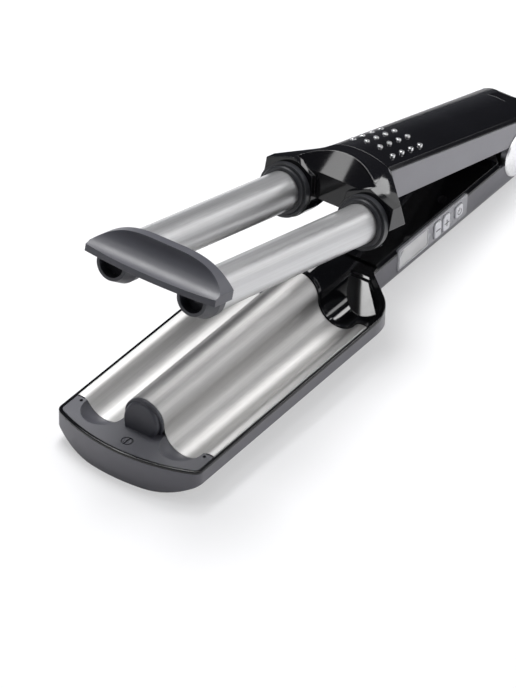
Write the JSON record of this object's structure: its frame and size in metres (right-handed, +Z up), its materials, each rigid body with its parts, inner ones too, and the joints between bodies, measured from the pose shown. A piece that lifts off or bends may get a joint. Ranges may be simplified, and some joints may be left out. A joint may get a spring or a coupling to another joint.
{
  "type": "hair waver",
  "caption": "Double-barrel hair waver: a sprung arm with heated tubes closes on a wave-shaped heated plate, with buttons and a display on the handle.",
  "frame": {"origin": "bottom centre of the whole waver, on the surface that it stands on", "axes": "+X towards the hinge and cord end, -X towards the wave plate's tip, +Z up, +Y the left side; the controls face -Y"},
  "size_m": [0.373, 0.0904, 0.1233],
  "materials": {
    "grey_housing": "satin grey moulding",
    "black_gloss": "gloss black moulding",
    "dark_moulding": "matte dark grey heat-resistant moulding",
    "collar_resin": "satin dark heat-resistant moulding",
    "wave_coating": "satin titanium-coloured coating on aluminium",
    "silver_cap": "satin silver",
    "steel": "plain zinc-plated steel",
    "bare_aluminium": "bare extruded aluminium",
    "heater_ceramic": "white ceramic heater",
    "sensor_glass": "glass and resin bead",
    "circuit_board": "green laminate",
    "component_black": "black moulded part",
    "panel_grey": "satin pale grey moulding",
    "display_clear": "clear display window over a grey display",
    "display_grey": "grey display glass",
    "button_white": "white moulding",
    "soft_black": "soft black moulding"
  },
  "bodies": {
    "lower_arm": {"lower_housing": "grey_housing", "head_frame": "black_gloss", "handle_deck": "black_gloss", "end_piece": "dark_moulding", "wave_plate": "wave_coating", "hinge_cap_left": "silver_cap", "hinge_cap_right": "silver_cap", "end_piece_screw": "steel", "heater_clamps": "steel", "clamp_screws": "steel", "housing_screws": "steel", "lower_hinge_bracket": "steel", "hinge_pin": "steel", "hinge_spring": "steel", "trough_saddle_left": "bare_aluminium", "trough_saddle_right": "bare_aluminium", "plate_heater_left": "heater_ceramic", "plate_heater_right": "heater_ceramic", "thermistor": "sensor_glass", "thermal_fuse": "sensor_glass", "control_board": "circuit_board", "main_board": "circuit_board", "tact_switches": "component_black", "control_panel": "panel_grey", "lcd_window": "display_clear", "lcd_module": "display_grey", "stop_pad": "soft_black"},
    "upper_arm": {"upper_hinge_bracket": "steel", "upper_frame": "grey_housing", "top_cover": "black_gloss", "grip_pins": "black_gloss", "upper_liner": "black_gloss", "cover_screws": "steel", "barrel_yoke": "black_gloss", "tip_bridge": "dark_moulding", "pod_screws": "steel", "barrel_left": "wave_coating", "barrel_collar_left": "collar_resin", "barrel_core_left": "bare_aluminium", "barrel_heater_left": "heater_ceramic", "barrel_pod_left": "dark_moulding", "barrel_right": "wave_coating", "barrel_collar_right": "collar_resin", "barrel_core_right": "bare_aluminium", "barrel_heater_right": "heater_ceramic", "barrel_pod_right": "dark_moulding"},
    "minus_button": {"minus_button": "button_white"},
    "plus_button": {"plus_button": "button_white"},
    "power_button": {"power_button": "button_white"},
    "cord_swivel": {"cord_gland": "soft_black"}
  },
  "joints": [
    {"name": "arm_hinge", "type": "hinge", "parent": "lower_arm", "child": "upper_arm", "pos_m": [0.161, 0, 0.0172], "axis": [0, -1, 0], "range_deg": [0, 14.7], "stiffness_Nm_per_rad": 1.6, "springref_deg": -34.38},
    {"name": "minus_press", "type": "slide", "parent": "lower_arm", "child": "minus_button", "axis": [0, 1, 0], "range_m": [0, 0.0006], "stiffness_N_per_m": 1500, "springref_m": -0.0004},
    {"name": "plus_press", "type": "slide", "parent": "lower_arm", "child": "plus_button", "axis": [0, 1, 0], "range_m": [0, 0.0006], "stiffness_N_per_m": 1500, "springref_m": -0.0004},
    {"name": "power_press", "type": "slide", "parent": "lower_arm", "child": "power_button", "axis": [0, 1, 0], "range_m": [0, 0.0006], "stiffness_N_per_m": 1500, "springref_m": -0.0004},
    {"name": "cord_swivel_turn", "type": "hinge", "parent": "lower_arm", "child": "cord_swivel", "pos_m": [0.1805, 0, 0.011], "axis": [1, 0, 0], "continuous": true}
  ]
}
